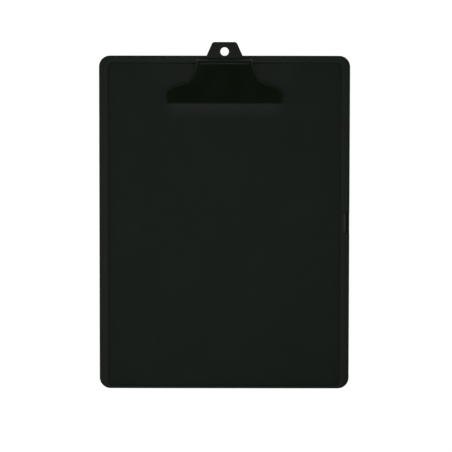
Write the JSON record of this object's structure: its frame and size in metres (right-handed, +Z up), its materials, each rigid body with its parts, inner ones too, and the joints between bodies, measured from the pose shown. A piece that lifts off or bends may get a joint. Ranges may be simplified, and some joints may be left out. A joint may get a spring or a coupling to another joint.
{
  "type": "storage clipboard box",
  "caption": "Shallow hinged storage box whose lid is a rimmed writing surface with a sprung paper clip, a hanging tab and a side latch.",
  "frame": {"origin": "centre of the case's back face, with the box lying closed on its back", "axes": "+Z up out of the writing surface, +Y towards the clip and its hanging tab, +X towards the latch, away from the lid hinge"},
  "size_m": [0.241, 0.3334, 0.0391],
  "materials": {
    "case_plastic": "fine moulded texture, black with a green-grey cast",
    "clip_paint": "black baked paint on pressed steel, satin",
    "pin_steel": "bright zinc-plated steel",
    "spring_steel": "drawn spring wire"
  },
  "bodies": {
    "base": {"base_tray": "case_plastic", "hinge_pin_upper": "pin_steel", "hinge_pin_middle": "pin_steel", "hinge_pin_lower": "pin_steel"},
    "lid": {"lid_panel": "case_plastic", "clip_base_plate": "clip_paint", "clip_pivot_pin": "pin_steel", "clip_spring_left": "spring_steel", "clip_spring_right": "spring_steel", "clip_rivet_left": "pin_steel", "clip_rivet_right": "pin_steel", "rivet_washer_left": "pin_steel", "rivet_washer_right": "pin_steel"},
    "clip_lever": {"clip_jaw": "clip_paint"},
    "latch": {"latch": "case_plastic"}
  },
  "joints": [
    {"name": "lid_hinge", "type": "hinge", "parent": "base", "child": "lid", "pos_m": [-0.118, 0, 0.0127], "axis": [0, -1, 0], "range_deg": [0, 155]},
    {"name": "clip_pivot", "type": "hinge", "parent": "lid", "child": "clip_lever", "pos_m": [0, 0.1415, 0.029], "axis": [-1, 0, 0], "range_deg": [0, 24], "stiffness_Nm_per_rad": 1.5, "springref_deg": -28.65, "deforming": ["clip_spring_left", "clip_spring_right"]},
    {"name": "latch_hinge", "type": "hinge", "parent": "lid", "child": "latch", "pos_m": [0.1156, 0, 0.0226], "axis": [0, -1, 0], "range_deg": [0, 90]}
  ]
}
